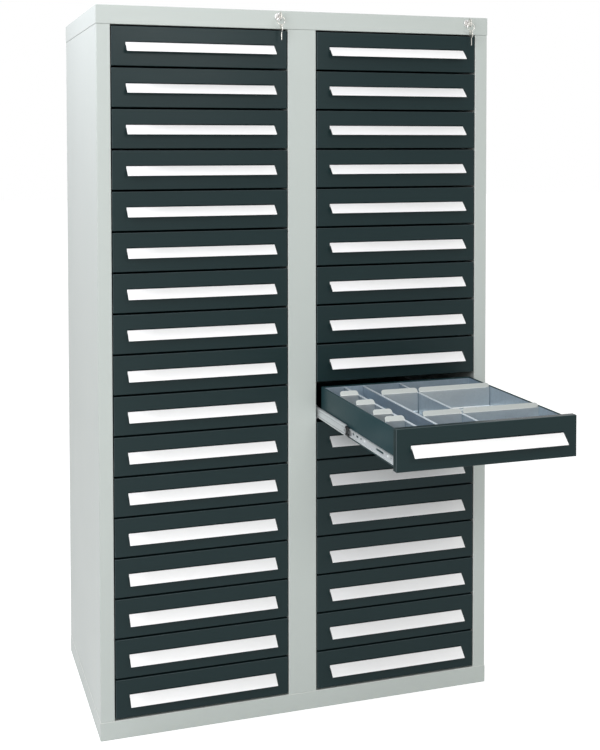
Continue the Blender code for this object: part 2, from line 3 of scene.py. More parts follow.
import bmesh
import bpy
from mathutils import Matrix, Vector
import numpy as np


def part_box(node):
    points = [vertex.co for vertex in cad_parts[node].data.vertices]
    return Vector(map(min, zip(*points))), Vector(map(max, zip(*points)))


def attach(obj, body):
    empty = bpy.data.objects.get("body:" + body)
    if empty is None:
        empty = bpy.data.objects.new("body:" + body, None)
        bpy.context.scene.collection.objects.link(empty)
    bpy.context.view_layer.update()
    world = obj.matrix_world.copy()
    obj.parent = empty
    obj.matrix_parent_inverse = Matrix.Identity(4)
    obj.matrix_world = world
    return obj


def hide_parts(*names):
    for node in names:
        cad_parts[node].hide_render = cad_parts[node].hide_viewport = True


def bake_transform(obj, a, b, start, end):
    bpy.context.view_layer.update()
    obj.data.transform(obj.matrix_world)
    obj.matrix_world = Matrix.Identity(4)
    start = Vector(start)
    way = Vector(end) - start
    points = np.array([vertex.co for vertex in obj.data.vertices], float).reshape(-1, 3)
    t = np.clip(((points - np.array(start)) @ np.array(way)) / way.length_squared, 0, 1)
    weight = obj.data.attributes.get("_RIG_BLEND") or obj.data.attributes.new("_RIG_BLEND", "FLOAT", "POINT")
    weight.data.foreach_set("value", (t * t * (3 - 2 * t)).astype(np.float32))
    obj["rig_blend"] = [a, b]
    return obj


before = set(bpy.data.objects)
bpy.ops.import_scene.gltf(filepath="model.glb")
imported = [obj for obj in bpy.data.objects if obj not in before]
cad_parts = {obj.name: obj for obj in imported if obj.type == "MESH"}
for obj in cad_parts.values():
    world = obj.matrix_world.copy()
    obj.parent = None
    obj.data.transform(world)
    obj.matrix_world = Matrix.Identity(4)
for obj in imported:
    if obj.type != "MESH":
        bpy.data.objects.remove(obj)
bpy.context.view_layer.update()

# Base and top cover
# Two shallow pans folded from 1.5 mm steel sheet, with a flange turned in round the open side.
# They are powder coated light grey and close the cabinet at the floor and at the head.
CABINET_SHEET = 0.0015
PAN_FLANGE = 0.020
PAN_FOLD = 0.0020
FOLD_SEGMENTS = 3
SHARP_ANGLE = math.radians(35)
FACING = 0.3
SQUARE_ON = 0.9
UP = Vector((0, 0, 1))
LEFT = Vector((-1, 0, 0))
BODY_GREY = (0.492, 0.535, 0.510)
# Painted highlight: the paler grey on the folds that face the light.
FOLD_HIGHLIGHT_GREY = (0.717, 0.742, 0.708)
CLOUD_SCALE = 5
CLOUD_SHARE = 0.6
SPECKLE_SCALE = 420
PEEL_SCALE = 700
PEEL_STRENGTH = 0.35
PEEL_DEPTH = 0.0002
COAT_GLOSS_SPREAD = 0.05


def noise(tree, where, scale, detail):
    """A noise pattern on the given coordinates."""
    pattern = tree.nodes.new("ShaderNodeTexNoise")
    pattern.inputs["Scale"].default_value = scale
    pattern.inputs["Detail"].default_value = detail
    tree.links.new(where, pattern.inputs["Vector"])
    return pattern.outputs["Fac"]


def two_tones(tree, colour, spread, pattern):
    """A colour that a pattern makes a little darker and lighter."""
    tone = tree.nodes.new("ShaderNodeMix")
    tone.data_type = "RGBA"
    tone.inputs["A"].default_value = (*[value * (1 - spread) for value in colour], 1)
    tone.inputs["B"].default_value = (*[min(1, value * (1 + spread)) for value in colour], 1)
    tree.links.new(pattern, tone.inputs["Factor"])
    return tone.outputs["Result"]


def over_marked_faces(tree, below, layer, colour):
    """A colour, with another one over the faces that a face layer marks."""
    marks = tree.nodes.new("ShaderNodeAttribute")
    marks.attribute_name = layer
    over = tree.nodes.new("ShaderNodeMix")
    over.data_type = "RGBA"
    over.inputs["B"].default_value = (*colour, 1)
    tree.links.new(below, over.inputs["A"])
    tree.links.new(marks.outputs["Fac"], over.inputs["Factor"])
    return over.outputs["Result"]


def gloss_and_relief(tree, roughness, spread, gloss_pattern, strength, depth, relief_pattern):
    """Lets one pattern vary a surface's gloss and another one its relief."""
    shader = tree.nodes["Principled BSDF"]
    gloss = tree.nodes.new("ShaderNodeMapRange")
    gloss.inputs["To Min"].default_value = roughness - spread
    gloss.inputs["To Max"].default_value = roughness + spread
    tree.links.new(gloss_pattern, gloss.inputs["Value"])
    tree.links.new(gloss.outputs["Result"], shader.inputs["Roughness"])
    bump = tree.nodes.new("ShaderNodeBump")
    bump.inputs["Strength"].default_value = strength
    bump.inputs["Distance"].default_value = depth
    tree.links.new(relief_pattern, bump.inputs["Height"])
    tree.links.new(bump.outputs["Normal"], shader.inputs["Normal"])


def powder_coat(name, colour, fold_highlight_colour, roughness, cloud, shine):
    """A baked powder coat with orange peel, a faint cloud in its colour, and a paler colour on marked folds
    as a painted highlight.
    """
    coat = bpy.data.materials.new(name)
    coat.use_nodes = True
    tree = coat.node_tree
    shader = tree.nodes["Principled BSDF"]
    shader.inputs["Specular IOR Level"].default_value = shine
    where = tree.nodes.new("ShaderNodeTexCoord").outputs["Object"]
    clouds = noise(tree, where, CLOUD_SCALE, detail=3)
    speckle = noise(tree, where, SPECKLE_SCALE, detail=2)
    peel = noise(tree, where, PEEL_SCALE, detail=3)
    fleck = tree.nodes.new("ShaderNodeMath")
    fleck.operation = "MULTIPLY"
    fleck.inputs[1].default_value = 1 - CLOUD_SHARE
    tree.links.new(speckle, fleck.inputs[0])
    both = tree.nodes.new("ShaderNodeMath")
    both.operation = "MULTIPLY_ADD"
    both.inputs[1].default_value = CLOUD_SHARE
    tree.links.new(clouds, both.inputs[0])
    tree.links.new(fleck.outputs[0], both.inputs[2])
    tone = two_tones(tree, colour, cloud, both.outputs[0])
    coloured = over_marked_faces(tree, tone, "fold", fold_highlight_colour)
    tree.links.new(coloured, shader.inputs["Base Color"])
    gloss_and_relief(tree, roughness, COAT_GLOSS_SPREAD, clouds, PEEL_STRENGTH, PEEL_DEPTH, peel)
    return coat


def box_mesh(low, high):
    """A bmesh box between two corners, with a face layer that marks folds for a painted highlight."""
    bm = bmesh.new()
    bm.faces.layers.float.new("fold")
    size = Matrix.Diagonal((*(Vector(high) - Vector(low)), 1))
    middle = Matrix.Translation((Vector(low) + Vector(high)) / 2)
    bmesh.ops.create_cube(bm, size=1, matrix=middle @ size)
    bm.normal_update()
    return bm


def round_over(bm, edges, radius, segments=FOLD_SEGMENTS):
    """Rounds edges, and returns the faces of the rounds."""
    return bmesh.ops.bevel(
        bm, geom=edges, offset=radius, offset_type="OFFSET", segments=segments,
        profile=0.5, affect="EDGES", clamp_overlap=True, material=-1,
    )["faces"]


def paint_fold_highlights(bm, folds, ways):
    """Marks the folds that face any of the given ways, where a paler colour paints their highlight."""
    layer = bm.faces.layers.float["fold"]
    for face in folds:
        face.normal_update()
        if any(face.normal.dot(way) > FACING for way in ways):
            face[layer] = 1.0


def finished(bm):
    """Turns a bmesh into a mesh."""
    mesh = bpy.data.meshes.new("made")
    bm.to_mesh(mesh)
    bm.free()
    return mesh


def through_modifier(mesh, kind, **settings):
    """Returns the mesh after one of Blender's modifiers."""
    blank = bpy.data.objects.new("blank", mesh)
    bpy.context.scene.collection.objects.link(blank)
    step = blank.modifiers.new("step", kind)
    for name, value in settings.items():
        setattr(step, name, value)
    seen = bpy.context.evaluated_depsgraph_get()
    made = bpy.data.meshes.new_from_object(blank.evaluated_get(seen))
    bpy.data.objects.remove(blank, do_unlink=True)
    return made


def sheet_of(bm, thickness, side=-1):
    """Gives a folded surface its sheet's thickness, behind its face."""
    return through_modifier(
        finished(bm), "SOLIDIFY", thickness=thickness, offset=side,
        use_even_offset=True, use_quality_normals=True,
    )


def show(name, mesh, finish, nodes=()):
    """Puts a mesh into the scene as a piece with its finish, in place of the solids it stands for."""
    piece = bpy.data.objects.new(name, mesh)
    bpy.context.scene.collection.objects.link(piece)
    mesh.materials.clear()
    mesh.materials.append(finish)
    mesh.shade_smooth()
    mesh.set_sharp_from_angle(angle=SHARP_ANGLE)
    even = piece.modifiers.new("even shading", "WEIGHTED_NORMAL")
    even.keep_sharp = True
    if nodes:
        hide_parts(*nodes)
    return piece


def folded_pan(low, high, mouth, flange, fold, sheet, highlight_ways=()):
    """A box folded from sheet, with a flange turned in round the side that the mouth faces."""
    bm = box_mesh(low, high)
    folds = list(bm.edges)
    open_side = next(face for face in bm.faces if face.normal.dot(mouth) > SQUARE_ON)
    bmesh.ops.inset_region(bm, faces=[open_side], thickness=flange, use_even_offset=True)
    bmesh.ops.delete(bm, geom=[open_side], context="FACES")
    paint_fold_highlights(bm, round_over(bm, folds, fold), highlight_ways)
    return sheet_of(bm, sheet)


def cut_by(mesh, other, operation="DIFFERENCE"):
    """Cuts one solid with another, or welds the two, and removes the other."""
    tool = bpy.data.objects.new("tool", other)
    bpy.context.scene.collection.objects.link(tool)
    made = through_modifier(mesh, "BOOLEAN", object=tool, operation=operation, solver="EXACT")
    bpy.data.objects.remove(tool, do_unlink=True)
    return made


def rod_mesh(radius, start, end, segments=32):
    """A bmesh cylinder between two points."""
    start, end = Vector(start), Vector(end)
    bm = bmesh.new()
    turn = (end - start).to_track_quat("Z", "Y").to_matrix().to_4x4()
    bmesh.ops.create_cone(
        bm, cap_ends=True, segments=segments, radius1=radius, radius2=radius,
        depth=(end - start).length, matrix=Matrix.Translation((start + end) / 2) @ turn,
    )
    return bm


body_paint = powder_coat(
    "body_grey_powder_coat", BODY_GREY, FOLD_HIGHLIGHT_GREY, roughness=0.42, cloud=0.012, shine=0.42
)
base_low, base_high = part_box("base_plinth")
# The base's folds that face up get a painted highlight.
base = folded_pan(base_low, base_high, UP, PAN_FLANGE, PAN_FOLD, CABINET_SHEET, [UP])
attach(show("base_pan", base, body_paint, ["base_plinth"]), "cabinet")

LOCK_HOLE = 0.0083
CUT_THROUGH = 0.01
cover_low, cover_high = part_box("top_cover")
cover = folded_pan(cover_low, cover_high, -UP, PAN_FLANGE, PAN_FOLD, CABINET_SHEET)
for side in ("left", "right"):
    barrel_low, barrel_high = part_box(f"lock_barrel_{side}")
    axis = (barrel_low + barrel_high) / 2
    outside = (axis.x, cover_low.y - CUT_THROUGH, axis.z)
    inside = (axis.x, cover_low.y + CUT_THROUGH, axis.z)
    cover = cut_by(cover, finished(rod_mesh(LOCK_HOLE, outside, inside)))
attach(show("cover_pan", cover, body_paint, ["top_cover"]), "cabinet")

# Side panels and centre post
# Box sections of the same sheet, open at both ends, whose narrow front faces are the light
# stiles round the drawers. The front corners are folded, and the slides are screwed to them.
STILE_WIDTH = 0.0345
POST_WIDTH = 0.075
UPRIGHT_FOLD = 0.0022
LONG_EDGE = 0.1

left_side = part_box("side_panel_left")[0].x
right_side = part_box("side_panel_right")[1].x
uprights = {
    "side_panel_left": (left_side, left_side + STILE_WIDTH),
    "centre_post": (-POST_WIDTH / 2, POST_WIDTH / 2),
    "side_panel_right": (right_side - STILE_WIDTH, right_side),
}
for node, (inner, outer) in uprights.items():
    low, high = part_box(node)
    bm = box_mesh((inner, low.y, low.z), (outer, high.y, high.z))
    ends = [face for face in bm.faces if abs(face.normal.z) > SQUARE_ON]
    bmesh.ops.delete(bm, geom=ends, context="FACES_ONLY")
    corners = [
        edge for edge in bm.edges if abs(edge.verts[0].co.z - edge.verts[1].co.z) > LONG_EDGE
    ]
    # The folds that face left on the post and the right side get a painted highlight.
    highlight_ways = [] if node == "side_panel_left" else [LEFT]
    paint_fold_highlights(bm, round_over(bm, corners, UPRIGHT_FOLD), highlight_ways)
    tube = sheet_of(bm, CABINET_SHEET)
    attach(show(f"{node}_tube", tube, body_paint, [node]), "cabinet")

# Back panel
# One flat sheet of the same steel behind the uprights, coated like the rest. Three columns of
# countersunk screws hold it, each in a pressed dimple.
BACK_EDGE = 0.0004
SCREW_RADIUS = 0.0042
SCREW_TOP_RADIUS = 0.00336
SCREW_SUNK = 0.00042
DIMPLE_DEPTH = 0.0006
DIMPLE_RADIUS = 0.0068
SCREW_ROWS = 8

back_low, back_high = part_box("back_panel")
post_middle = 0.0
screw_columns = [back_low.x + STILE_WIDTH / 2, post_middle, back_high.x - STILE_WIDTH / 2]
screw_heights = [
    back_low.z + (back_high.z - back_low.z) * (row + 0.5) / SCREW_ROWS for row in range(SCREW_ROWS)
]


def cones_at_screws(y, radius, top_radius, depth, segments):
    """A low cone at the place of every screw of the back panel."""
    bm = bmesh.new()
    turn = Matrix.Rotation(math.radians(90), 4, "X")
    for x in screw_columns:
        for z in screw_heights:
            bmesh.ops.create_cone(
                bm, cap_ends=True, segments=segments, radius1=radius, radius2=top_radius,
                depth=depth, matrix=Matrix.Translation((x, y, z)) @ turn,
            )
    return finished(bm)


bm = box_mesh(back_low, back_high)
round_over(bm, [edge for edge in bm.edges if edge.calc_length() > LONG_EDGE], BACK_EDGE, segments=2)
dimples = cones_at_screws(
    back_high.y, DIMPLE_RADIUS, DIMPLE_RADIUS - DIMPLE_DEPTH, 2 * DIMPLE_DEPTH, segments=24
)
panel = cut_by(finished(bm), dimples)
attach(show("back_sheet", panel, body_paint, ["back_panel"]), "cabinet")

# Painted shade: a near black laid into the slides' race grooves.
GROOVE_SHADE = (0.045, 0.045, 0.045)
SCREW_ZINC = (0.66, 0.69, 0.72)
CRYSTAL_SCALE = 160
LINE_DEPTH = 0.0001
METAL_GLOSS_SPREAD = 0.06


def brushed_metal(name, colour, roughness, grain, spangle, bareness=1, relief=0.15, over=GROOVE_SHADE):
    """A bare or plated metal with drawn lines, faint crystals and another colour over marked faces, by
    default a dark painted shade.
    """
    metal = bpy.data.materials.new(name)
    metal.use_nodes = True
    tree = metal.node_tree
    shader = tree.nodes["Principled BSDF"]
    shader.inputs["Metallic"].default_value = bareness
    where = tree.nodes.new("ShaderNodeTexCoord").outputs["Object"]
    stretch = tree.nodes.new("ShaderNodeMapping")
    stretch.inputs["Scale"].default_value = grain
    tree.links.new(where, stretch.inputs["Vector"])
    lines = noise(tree, stretch.outputs["Vector"], scale=1, detail=4)
    crystals = tree.nodes.new("ShaderNodeTexVoronoi")
    crystals.inputs["Scale"].default_value = CRYSTAL_SCALE
    tree.links.new(where, crystals.inputs["Vector"])
    shades = tree.nodes.new("ShaderNodeSeparateColor")
    tree.links.new(crystals.outputs["Color"], shades.inputs["Color"])
    tone = two_tones(tree, colour, spangle, shades.outputs["Red"])
    coloured = over_marked_faces(tree, tone, "shade_and_lip_tone", over)
    tree.links.new(coloured, shader.inputs["Base Color"])
    gloss_and_relief(tree, roughness, METAL_GLOSS_SPREAD, lines, relief, LINE_DEPTH, lines)
    return metal


screw_zinc = brushed_metal(
    "screw_zinc", SCREW_ZINC, roughness=0.30, grain=(400, 400, 400), spangle=0.03
)
heads = cones_at_screws(
    back_high.y - SCREW_SUNK, SCREW_RADIUS, SCREW_TOP_RADIUS, DIMPLE_DEPTH, segments=20
)
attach(show("back_screws", heads, screw_zinc), "cabinet")

# Slides
# Each drawer runs on two ball-bearing slides of zinc-plated steel strip, rolled to C sections
# that nest in each other: the widest is screwed to the upright, the narrowest to the tray.
SLIDE_SHEET = 0.0012
SLIDE_BEND = 0.0011
SLIDE_SETBACK = 0.020
SLIDE_AXIS_HEIGHT = 0.021
SLIDE_LENGTH = 0.515
ROW_COUNT = 17
DRAWER_PITCH = 0.100
OPENING_WIDTH = 0.448
FRONT_GAP = 0.0025
DRAWER_LENGTH = 0.520
MIDDLE_SETBACK = 0.002
OUTER_SECTION = [
    (0.0094, 0.0156), (0.0080, 0.0169), (0.0006, 0.0169), (0.0006, 0.0070), (0.0012, 0.0058),
    (0.0012, -0.0058), (0.0006, -0.0070), (0.0006, -0.0169), (0.0080, -0.0169), (0.0094, -0.0156),
]
MIDDLE_SECTION = [
    (0.0107, 0.0128), (0.0078, 0.0128), (0.0059, 0.0118), (0.0049, 0.0101), (0.0049, 0.0080),
    (0.0059, 0.0062), (0.0059, -0.0062), (0.0049, -0.0080), (0.0049, -0.0101), (0.0059, -0.0118),
    (0.0078, -0.0128), (0.0107, -0.0128),
]
DRAWER_SECTION = [(0.0074, 0.0084), (0.0121, 0.0084), (0.0121, -0.0084), (0.0074, -0.0084)]
DRAWER_MEMBER_SLOTS = [
    (0.014, 0.005), (0.032, 0.005), (0.097, 0.044), (0.214, 0.008), (0.238, 0.016), (0.264, 0.010),
    (0.300, 0.005), (0.372, 0.022), (0.450, 0.005),
]
SLOT_HEIGHT = 0.005
MEMBER_SCREWS = [0.050, 0.190, 0.330, 0.470]
SCREW_HEAD = 0.0032
SCREW_HEAD_FOOT = 0.00224
SCREW_HEAD_HEIGHT = 0.0012
TRACK_HEIGHTS = (0.0060, 0.0081)
# How strongly the painted shade covers the race grooves.
TRACK_GROOVE_SHADE = 0.35
END_NOTCH = 0.0070
END_NOTCH_HEIGHT = 0.0090
CUTTER_WIDTH = 0.006
ROUND_END_SHARE = 0.47
SLIDE_ZINC = (0.73, 0.765, 0.774)

slide_zinc = brushed_metal(
    "slide_zinc_plate", SLIDE_ZINC, roughness=0.32, grain=(900, 12, 900), spangle=0.01,
    bareness=0.45, relief=0.02,
)


def draw_out(bm, edges, way):
    """Draws edges out into faces."""
    made = bmesh.ops.extrude_edge_only(bm, edges=edges)["geom"]
    far = [item for item in made if isinstance(item, bmesh.types.BMVert)]
    bmesh.ops.translate(bm, verts=far, vec=way)


def folded_strip(points, way):
    """A bmesh of a bent line through points, drawn out into a strip."""
    bm = bmesh.new()
    corners = [bm.verts.new(point) for point in points]
    draw_out(bm, [bm.edges.new(pair) for pair in zip(corners, corners[1:])], way)
    return bm


def rolled_section(outline, start, length, sheet=SLIDE_SHEET, painted_shade_heights=(0, 0)):
    """A strip rolled to an outline in X and Z and drawn out along Y, with painted shade between two heights.
    """
    bm = folded_strip([(x, start, z) for x, z in outline], (0, length, 0))
    bm.normal_update()
    bends = [edge for edge in bm.edges if len(edge.link_faces) == 2]
    round_over(bm, bends, SLIDE_BEND / 2, segments=2)
    # Faces between the given heights take the painted groove shade.
    shade_and_lip_tone = bm.faces.layers.float.new("shade_and_lip_tone")
    for face in bm.faces:
        if painted_shade_heights[0] < abs(face.calc_center_median().z) < painted_shade_heights[1]:
            face[shade_and_lip_tone] = TRACK_GROOVE_SHADE
    return sheet_of(bm, sheet, 0)


def mirrored(mesh):
    """The same member for the right-hand side of a cell."""
    other = mesh.copy()
    other.transform(Matrix.Translation((OPENING_WIDTH, 0, 0)) @ Matrix.Scale(-1, 4, (1, 0, 0)))
    other.flip_normals()
    return other


def moved(mesh, offset):
    """A copy of a mesh at its place."""
    placed = mesh.copy()
    placed.transform(Matrix.Translation(offset))
    return placed


def merged(meshes):
    """One mesh of several."""
    bm = bmesh.new()
    for mesh in meshes:
        bm.from_mesh(mesh)
    return finished(bm)


outer_member = rolled_section(OUTER_SECTION, SLIDE_SETBACK, SLIDE_LENGTH)
# The grooves between the middle member's race bands and its web get painted shade.
middle_member = rolled_section(
    MIDDLE_SECTION, SLIDE_SETBACK + MIDDLE_SETBACK, SLIDE_LENGTH, painted_shade_heights=TRACK_HEIGHTS
)
drawer_member = rolled_section(DRAWER_SECTION, SLIDE_SETBACK, DRAWER_LENGTH - SLIDE_SETBACK)


def slot_cutter(slots, height, x):
    """Cutters for rounded slots in a web across X, each given as a place (y, z) and a length."""
    bm = bmesh.new()
    for y, z, length in slots:
        size = Matrix.Diagonal((CUTTER_WIDTH, length, height, 1))
        bmesh.ops.create_cube(bm, size=1, matrix=Matrix.Translation((x, y, z)) @ size)
    corners = [
        edge for edge in bm.edges if abs(edge.verts[0].co.x - edge.verts[1].co.x) > CUTTER_WIDTH / 2
    ]
    round_over(bm, corners, height * ROUND_END_SHARE, segments=4)
    return finished(bm)


web_x = DRAWER_SECTION[1][0]
slots = [(SLIDE_SETBACK + place, 0, length) for place, length in DRAWER_MEMBER_SLOTS]
drawer_member = cut_by(drawer_member, slot_cutter(slots, SLOT_HEIGHT, web_x))
notch = (SLIDE_SETBACK + MIDDLE_SETBACK + END_NOTCH, 0, END_NOTCH)
middle_member = cut_by(middle_member, slot_cutter([notch], END_NOTCH_HEIGHT, MIDDLE_SECTION[5][0]))
heads = bmesh.new()
for place in MEMBER_SCREWS:
    face_x = web_x - SLIDE_SHEET / 2
    turn = Matrix.Translation((face_x - SCREW_HEAD_HEIGHT / 2, SLIDE_SETBACK + place, 0))
    bmesh.ops.create_cone(
        heads, cap_ends=True, segments=20, radius1=SCREW_HEAD_FOOT, radius2=SCREW_HEAD,
        depth=SCREW_HEAD_HEIGHT, matrix=turn @ Matrix.Rotation(math.radians(90), 4, "Y"),
    )
drawer_member = merged([drawer_member, finished(heads)])

front_plane = base_low.y
zone_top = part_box("drawer_left_01")[0].z - FRONT_GAP + DRAWER_PITCH
column_left = {
    side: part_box(f"drawer_{side}_01")[0].x - FRONT_GAP for side in ("left", "right")
}


def cell(side, row):
    """The lower left corner of a drawer's cell, in the plane of the fronts."""
    return Vector((column_left[side], front_plane, zone_top - row * DRAWER_PITCH))


AXIS = Vector((0, 0, SLIDE_AXIS_HEIGHT))
for side in ("left", "right"):
    for hand, member in (("left", outer_member), ("right", mirrored(outer_member))):
        rows = [moved(member, cell(side, row) + AXIS) for row in range(1, ROW_COUNT + 1)]
        name = f"{side}_column_{hand}_cabinet_members"
        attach(show(name, merged(rows), slide_zinc), "cabinet")

# Closed drawers
# Each has a front folded from sheet, coated anthracite, with a tray behind it in the same anthracite made
# lighter as painted light, a bright aluminium grip strip hooked into a slot in the front, and slide members
# on the tray.
BACK = Vector((0, 1, 0))
DRAWER_SHEET = 0.0012
FRONT_THICKNESS = 0.018
FRONT_FLANGE = 0.012
FRONT_FOLD = 0.0014
TRAY_SIDE_GAP = 0.013
TRAY_FLOOR_HEIGHT = 0.004
TRAY_TOP_HEIGHT = 0.090
TRAY_FOLD = 0.0018
TRAY_HEM = 0.0032
TRAY_HEM_DROP = 0.0024
SEAT_GAP = 0.0003
GRIP_LENGTH = 0.375
GRIP_REACH = 0.024
GRIP_TOP = 0.0585
GRIP_DROP = 0.021
GRIP_BULGE = 0.0004
GRIP_SHEET = 0.0018
GRIP_FOOT = 0.006
GRIP_SLOT = 0.0034
SLOT_CUT = (-0.002, 0.003)
GRIP_STEPS = 14
GRIP_EDGE = 0.0007
GRIP_EDGE_ANGLE = math.radians(40)
ANTHRACITE = (0.0083, 0.0217, 0.0233)
# Painted highlight: the paler anthracite on the folds that face the light.
FOLD_HIGHLIGHT_ANTHRACITE = (0.067, 0.092, 0.098)
# Painted light: the tray's anthracite is made lighter for the light from the left on its sides.
TRAY_LIT_ANTHRACITE = (0.0175, 0.050, 0.057)
ALUMINIUM = (0.965, 0.965, 0.965)

front_paint = powder_coat(
    "anthracite_powder_coat", ANTHRACITE, FOLD_HIGHLIGHT_ANTHRACITE, roughness=0.33, cloud=0.03, shine=0.165
)
# The tray's coat is the front's anthracite made lighter, as painted light.
lit_tray_paint = powder_coat(
    "anthracite_tray_coat_painted_lighter", TRAY_LIT_ANTHRACITE, FOLD_HIGHLIGHT_ANTHRACITE, roughness=0.33, cloud=0.03,
    shine=0.165,
)
grip_metal = brushed_metal(
    "grip_aluminium", ALUMINIUM, roughness=0.5, grain=(5, 700, 700), spangle=0.004,
    bareness=0.15, relief=0.05,
)


def front_mesh():
    """A drawer's front, with the slot that its grip strip hooks into."""
    low = (FRONT_GAP, 0, FRONT_GAP)
    high = (OPENING_WIDTH - FRONT_GAP, FRONT_THICKNESS, DRAWER_PITCH - FRONT_GAP)
    # The front's folds that face left and up get a painted highlight.
    front = folded_pan(low, high, BACK, FRONT_FLANGE, FRONT_FOLD, DRAWER_SHEET, [LEFT, UP])
    start = (OPENING_WIDTH - GRIP_LENGTH) / 2
    slot = box_mesh(
        (start, SLOT_CUT[0], GRIP_TOP), (start + GRIP_LENGTH, SLOT_CUT[1], GRIP_TOP + GRIP_SLOT)
    )
    return cut_by(front, finished(slot))


def tray_mesh():
    """An open tray with a hem turned in and down round its rim."""
    low = (TRAY_SIDE_GAP, FRONT_THICKNESS + SEAT_GAP, TRAY_FLOOR_HEIGHT)
    high = (OPENING_WIDTH - TRAY_SIDE_GAP, DRAWER_LENGTH, TRAY_TOP_HEIGHT)
    bm = box_mesh(low, high)
    folds = list(bm.edges)
    mouth = next(face for face in bm.faces if face.normal.z > SQUARE_ON)
    bmesh.ops.inset_region(bm, faces=[mouth], thickness=TRAY_HEM, use_even_offset=True)
    rim = list(mouth.edges)
    bmesh.ops.delete(bm, geom=[mouth], context="FACES_ONLY")
    draw_out(bm, rim, (0, 0, -TRAY_HEM_DROP))
    round_over(bm, folds, TRAY_FOLD)
    bmesh.ops.recalc_face_normals(bm, faces=bm.faces)
    return sheet_of(bm, DRAWER_SHEET)


def grip_mesh():
    """A strip that slopes down and out from its flat foot on the front, with a slight bulge."""
    run = GRIP_REACH - GRIP_SHEET
    chord = math.hypot(run, GRIP_DROP)
    radius = chord**2 / (8 * GRIP_BULGE) + GRIP_BULGE / 2
    middle_angle = math.atan2(run, -GRIP_DROP)
    half_turn = math.asin(chord / 2 / radius)
    inset = radius - GRIP_BULGE
    start = (OPENING_WIDTH - GRIP_LENGTH) / 2
    centre = Vector((
        start,
        -GRIP_SHEET - run / 2 - inset * math.cos(middle_angle),
        GRIP_TOP - GRIP_DROP / 2 - inset * math.sin(middle_angle),
    ))
    first = middle_angle - half_turn
    reach = radius - GRIP_SHEET / 2
    bm = bmesh.new()
    root = bm.verts.new(centre + Vector((0, reach * math.cos(first), reach * math.sin(first))))
    bmesh.ops.spin(
        bm, geom=[root], cent=centre, axis=(1, 0, 0), angle=2 * half_turn, steps=GRIP_STEPS,
        use_duplicate=False,
    )
    back = -GRIP_SHEET / 2 - SEAT_GAP
    shoulder = bm.verts.new((start, back, GRIP_TOP - GRIP_SHEET / 2))
    foot = bm.verts.new((start, back, GRIP_TOP - GRIP_FOOT))
    bm.edges.new((root, shoulder))
    bm.edges.new((shoulder, foot))
    draw_out(bm, list(bm.edges), (GRIP_LENGTH, 0, 0))
    bmesh.ops.recalc_face_normals(bm, faces=bm.faces)
    return through_modifier(
        sheet_of(bm, GRIP_SHEET, 0), "BEVEL", width=GRIP_EDGE, segments=2,
        limit_method="ANGLE", angle_limit=GRIP_EDGE_ANGLE,
    )


FAR = 1000
# A blend eases in and out, so a place at 0.4465 of its way gives 0.42 of the drawer's travel.
MIDDLE_PART_WAY = 0.4465


def follow_part_way(piece, place, drawer, part_way):
    """Moves a piece for a share of its drawer's travel, with a blend so wide that it stays rigid."""
    start = place - Vector((0, 0, FAR * part_way))
    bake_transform(piece, "cabinet", drawer, start=start, end=start + Vector((0, 0, FAR)))


fronts = front_mesh()
trays = tray_mesh()
grips = grip_mesh()
drawer_members = merged([drawer_member, mirrored(drawer_member)])
middle_members = merged([middle_member, mirrored(middle_member)])
for side in ("left", "right"):
    for row in range(1, ROW_COUNT + 1):
        drawer = f"drawer_{side}_{row:02d}"
        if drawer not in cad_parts:
            continue
        corner = cell(side, row)
        axis = corner + AXIS
        pieces = [
            ("front", fronts, corner, front_paint, "front_anthracite"),
            ("tray", trays, corner, lit_tray_paint, "front_anthracite"),
            ("grip", grips, corner, grip_metal, "grip_aluminium"),
            ("slide_members", drawer_members, axis, slide_zinc, "slide_zinc"),
        ]
        for word, mesh, place, finish, slot in pieces:
            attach(show(f"{drawer}_{word}", moved(mesh, place), finish, [drawer]), drawer)
        middle = show(
            f"{drawer}_middle_members", moved(middle_members, axis), slide_zinc
        )
        follow_part_way(middle, axis, drawer, MIDDLE_PART_WAY)

# Open drawer
# The same front, tray, grip and slides, with a zinc-coated liner inside the tray that the
# dividers hook into. The middle slide members come out with it part of the way, and the ball
# cages roll out between them and the drawer's members.
MIDDLE_SHARE = 0.42
LINER_SHEET = 0.0006
LINER_TOP = 0.0865
SHEET_ZINC = (0.50, 0.59, 0.66)

open_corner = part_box("open_drawer_front")[0] - Vector((FRONT_GAP, 0, FRONT_GAP))
open_axis = open_corner + AXIS
travel = front_plane - open_corner.y
zinc_sheet = brushed_metal(
    "zinc_coated_sheet", SHEET_ZINC, roughness=0.34, grain=(60, 60, 500), spangle=0.04,
    bareness=0.75, relief=0.06,
)
open_pieces = [
    ("open_front", fronts, open_corner, front_paint, "front_anthracite", "open_drawer_front"),
    ("open_tray", trays, open_corner, lit_tray_paint, "front_anthracite", "open_drawer_tray"),
    ("open_grip", grips, open_corner, grip_metal, "grip_aluminium", "open_drawer_grip"),
    ("open_slide_member_left", drawer_member, open_axis, slide_zinc, "slide_zinc",
     "slide_drawer_member_left"),
    ("open_slide_member_right", mirrored(drawer_member), open_axis, slide_zinc, "slide_zinc",
     "slide_drawer_member_right"),
]
for name, mesh, place, finish, slot, node in open_pieces:
    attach(show(name, moved(mesh, place), finish, [node]), "open_drawer")
part_out = open_axis + Vector((0, travel * (1 - MIDDLE_SHARE), 0))
for hand, mesh in (("left", middle_member), ("right", mirrored(middle_member))):
    node = f"slide_middle_member_{hand}"
    piece = show(f"open_middle_member_{hand}", moved(mesh, part_out), slide_zinc, [node])
    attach(piece, "middle_slides")

CAGE_SECTION = [(0.0100, 0.0107), (0.0070, 0.0107), (0.0070, -0.0107), (0.0100, -0.0107)]
CAGE_SHEET = 0.0004
CAGE_OUT = 0.025
CAGE_LENGTH = 0.180
# This gives 0.71 of the travel, half way between the middle members and the drawer's.
CAGE_PART_WAY = 0.644
BALL_RADIUS = 0.0014
BALL_STEP = 0.012
WINDOW = 0.007
CAGE_STEEL = (0.012, 0.013, 0.014)

